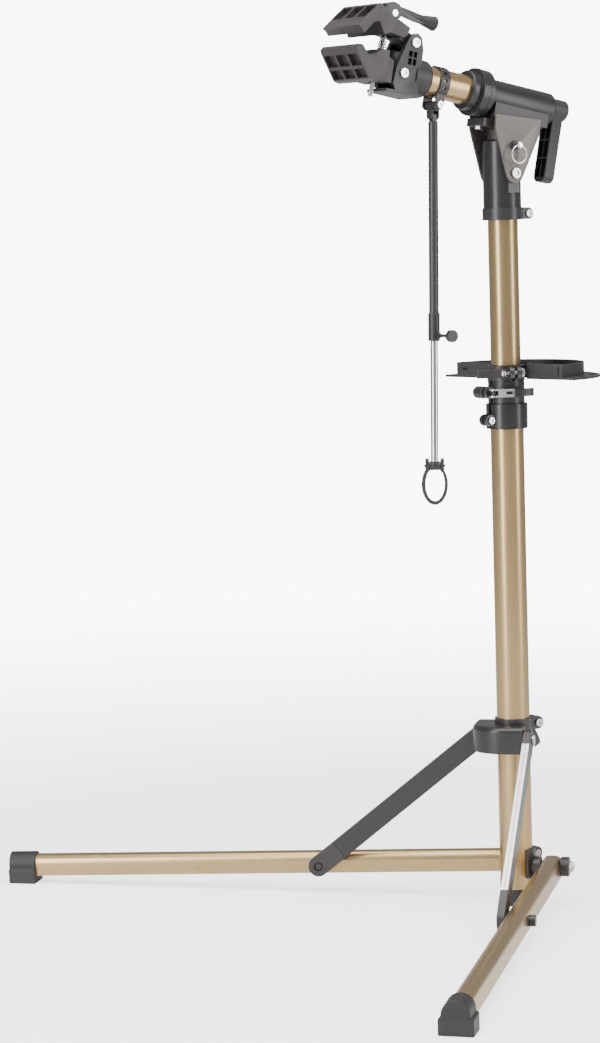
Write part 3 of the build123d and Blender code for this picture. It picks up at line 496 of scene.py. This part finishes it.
def soft_edged(node, edge_mm):
    """A copy of a CAD node with its sharp edges rounded to edge_mm."""
    mesh = nodes[node].data.copy()
    mesh.materials.clear()
    shape = bmesh.new()
    shape.from_mesh(mesh)
    bmesh.ops.remove_doubles(shape, verts=shape.verts, dist=MERGE_WITHIN)
    bmesh.ops.dissolve_limit(
        shape, angle_limit=FLAT_BELOW, verts=shape.verts, edges=shape.edges, delimit={"NORMAL"}
    )
    for face in shape.faces:
        face.smooth = True
    for edge in shape.edges:
        sharp = len(edge.link_faces) != 2 or edge.calc_face_angle(0) > SHARP_ABOVE
        edge.smooth = not sharp
    shape.to_mesh(mesh)
    shape.free()
    piece = linked(f"{node}_dressed", mesh)
    bevel = piece.modifiers.new("edges", "BEVEL")
    bevel.width = edge_mm / 1000
    bevel.segments = 2
    bevel.limit_method = "ANGLE"
    bevel.angle_limit = SHARP_ABOVE
    bevel.use_clamp_overlap = True
    bevel.harden_normals = True
    return applied(piece)


dressed = {}
for node in nodes:
    piece = soft_edged(node, EDGE_MM.get(node, OTHER_EDGE_MM))
    piece.data.materials.clear()
    piece.data.materials.append(finish_of.get(node, nylon))
    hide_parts(node)
    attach(piece, body_of_node[node])
    dressed[node] = piece
print(len(dressed), "pieces dressed,", sum(len(p.data.polygons) for p in dressed.values()), "faces")

# %% [markdown]
# Small raised marks repeat round the toothed ring, and a thread repeats along the clamp bolt. Geometry
# Nodes suit both: one mark is made once and a rule places the rest. The tree below is built once for
# marks round a circle, with its sizes as named inputs, and each use fills them in.

# %% Marks round a ring
RING_RADIUS = 0.02845
# Sizes are out from the ring, round it and along it; at is the place along the head's axis.
RING_MARKS = {
    "index_zigzag": {"count": 72, "size": (0.0005, 0.0007, 0.0038), "tilt": radians(38), "at": 0.0378},
    "index_dots": {"count": 36, "size": (0.0006, 0.0016, 0.0016), "tilt": radians(45), "at": 0.0416},
}


def node_tree(name, sockets):
    """An empty tree with these inputs, the sockets' identifiers, and its two end nodes."""
    tree = bpy.data.node_groups.new(name, "GeometryNodeTree")
    ids = {}
    for label, kind in sockets:
        ids[label] = tree.interface.new_socket(label, in_out="INPUT", socket_type=kind).identifier
    tree.interface.new_socket("Mesh", in_out="OUTPUT", socket_type="NodeSocketGeometry")
    start = tree.nodes.new("NodeGroupInput")
    end = tree.nodes.new("NodeGroupOutput")
    return tree, ids, start, end


def tree_node(tree, kind, settings, *values, **named):
    """A node with its settings, then its inputs in order or by name; an input is a value or a link."""
    node = tree.nodes.new(kind)
    for key, value in settings.items():
        setattr(node, key, value)
    feeds = list(enumerate(values)) + [(label.replace("_", " "), value) for label, value in named.items()]
    for key, value in feeds:
        socket = node.inputs[key]
        if isinstance(value, bpy.types.NodeSocket):
            tree.links.new(value, socket)
        else:
            socket.default_value = value
    return node


def grown(name, tree, ids, values, place):
    """Run the tree on an empty mesh, and put the result where place says."""
    piece = linked(name, bpy.data.meshes.new(name))
    modifier = piece.modifiers.new("grow", "NODES")
    modifier.node_group = tree
    for label, value in values.items():
        modifier[ids[label]] = value
    applied(piece)
    piece.data.transform(place)
    return piece


def ring_marks_tree():
    sockets = [("Count", "NodeSocketInt"), ("Radius", "NodeSocketFloat"), ("Size", "NodeSocketVector")]
    sockets += [("Tilt", "NodeSocketFloat"), ("Finish", "NodeSocketMaterial")]
    tree, ids, start, end = node_tree("ring_marks", sockets)
    circle = tree_node(
        tree, "GeometryNodeMeshCircle", {"fill_type": "NONE"},
        Vertices=start.outputs["Count"], Radius=start.outputs["Radius"],
    )
    bar = tree_node(tree, "GeometryNodeMeshCube", {}, Size=start.outputs["Size"])
    place = tree_node(tree, "GeometryNodeInputPosition", {})
    facing = tree_node(tree, "FunctionNodeAlignRotationToVector", {"axis": "X"}, Vector=place.outputs[0])
    number = tree_node(tree, "GeometryNodeInputIndex", {})
    odd = tree_node(tree, "ShaderNodeMath", {"operation": "MODULO"}, number.outputs[0], 2)
    way = tree_node(tree, "ShaderNodeMath", {"operation": "MULTIPLY_ADD"}, odd.outputs[0], 2, -1)
    leaned = [way.outputs[0], start.outputs["Tilt"]]
    tilt = tree_node(tree, "ShaderNodeMath", {"operation": "MULTIPLY"}, *leaned)
    lean = tree_node(tree, "FunctionNodeAxisAngleToRotation", {}, Axis=(1, 0, 0), Angle=tilt.outputs[0])
    turned = tree_node(
        tree, "FunctionNodeRotateRotation", {"rotation_space": "LOCAL"},
        Rotation=facing.outputs[0], Rotate_By=lean.outputs[0],
    )
    spread = tree_node(
        tree, "GeometryNodeInstanceOnPoints", {},
        Points=circle.outputs[0], Instance=bar.outputs[0], Rotation=turned.outputs[0],
    )
    real = tree_node(tree, "GeometryNodeRealizeInstances", {}, Geometry=spread.outputs[0])
    done = tree_node(
        tree, "GeometryNodeSetMaterial", {}, Geometry=real.outputs[0], Material=start.outputs["Finish"]
    )
    tree.links.new(done.outputs[0], end.inputs[0])
    return tree, ids


def along_axis(origin, axis, distance):
    """Placement whose Z runs along an axis, at a distance from its origin."""
    turn = Vector(axis).normalized().to_track_quat("Z", "Y").to_matrix().to_4x4()
    return Matrix.Translation(Vector(origin) + Vector(axis).normalized() * distance) @ turn


head_at = joint_of["head_turn"]["pos_m"]
head_axis = joint_of["head_turn"]["axis"]
marks_tree, marks_ids = ring_marks_tree()
for marks_name, marks in RING_MARKS.items():
    marks_values = {
        "Count": marks["count"],
        "Radius": RING_RADIUS,
        "Size": marks["size"],
        "Tilt": marks["tilt"],
        "Finish": nylon_fine,
    }
    marks_place = along_axis(head_at, head_axis, marks["at"])
    ring_marks = grown(marks_name, marks_tree, marks_ids, marks_values, marks_place)
    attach(ring_marks, "head_tube")
    print(marks_name, len(ring_marks.data.polygons), "faces")

# %% [markdown]
# A thread looks like many fine rings from a step away. Rings at the thread's pitch cost little and
# follow the same rule, so a second tree sets them along the free part of the clamp bolt.

# %% Thread on the clamp bolt
THREAD_PITCH = 0.00125
THREAD_LENGTH = 0.052
THREAD_RADIUS = 0.0029
THREAD_DEPTH = 0.00045
THREAD_START = 0.001
# Points of the bolt this close to the furthest one belong to its tip.
TIP_BAND = 0.0008


def thread_tree():
    sockets = [("Count", "NodeSocketInt"), ("Pitch", "NodeSocketFloat"), ("Radius", "NodeSocketFloat")]
    sockets += [("Depth", "NodeSocketFloat"), ("Finish", "NodeSocketMaterial")]
    tree, ids, start, end = node_tree("thread_rings", sockets)
    step = tree_node(tree, "ShaderNodeCombineXYZ", {}, Z=start.outputs["Pitch"])
    line = tree_node(
        tree, "GeometryNodeMeshLine", {}, Count=start.outputs["Count"], Offset=step.outputs[0]
    )
    circle = ("GeometryNodeCurvePrimitiveCircle", {"mode": "RADIUS"})
    loop = tree_node(tree, *circle, Resolution=18, Radius=start.outputs["Radius"])
    crest = tree_node(tree, *circle, Resolution=4, Radius=start.outputs["Depth"])
    curves = {"Curve": loop.outputs[0], "Profile_Curve": crest.outputs[0]}
    ring = tree_node(tree, "GeometryNodeCurveToMesh", {}, **curves)
    spread = tree_node(
        tree, "GeometryNodeInstanceOnPoints", {}, Points=line.outputs[0], Instance=ring.outputs[0]
    )
    real = tree_node(tree, "GeometryNodeRealizeInstances", {}, Geometry=spread.outputs[0])
    done = tree_node(
        tree, "GeometryNodeSetMaterial", {}, Geometry=real.outputs[0], Material=start.outputs["Finish"]
    )
    tree.links.new(done.outputs[0], end.inputs[0])
    return tree, ids


bolt_top = Vector(joint_of["clamp_bolt_tilt"]["pos_m"])
bolt_points = [vertex.co for vertex in dressed["clamp_bolt"].data.vertices]
furthest = max((point - bolt_top).length for point in bolt_points)
tip_points = [point for point in bolt_points if (point - bolt_top).length > furthest - TIP_BAND]
bolt_tip = sum(tip_points, Vector()) / len(tip_points)
rings_tree, rings_ids = thread_tree()
thread_values = {
    "Count": int(THREAD_LENGTH / THREAD_PITCH),
    "Pitch": THREAD_PITCH,
    "Radius": THREAD_RADIUS,
    "Depth": THREAD_DEPTH,
    "Finish": zinc,
}
thread_place = along_axis(bolt_tip, bolt_top - bolt_tip, THREAD_START)
thread = grown("clamp_bolt_thread", rings_tree, rings_ids, thread_values, thread_place)
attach(thread, "clamp_bolt")
print("thread", len(thread.data.polygons), "faces")
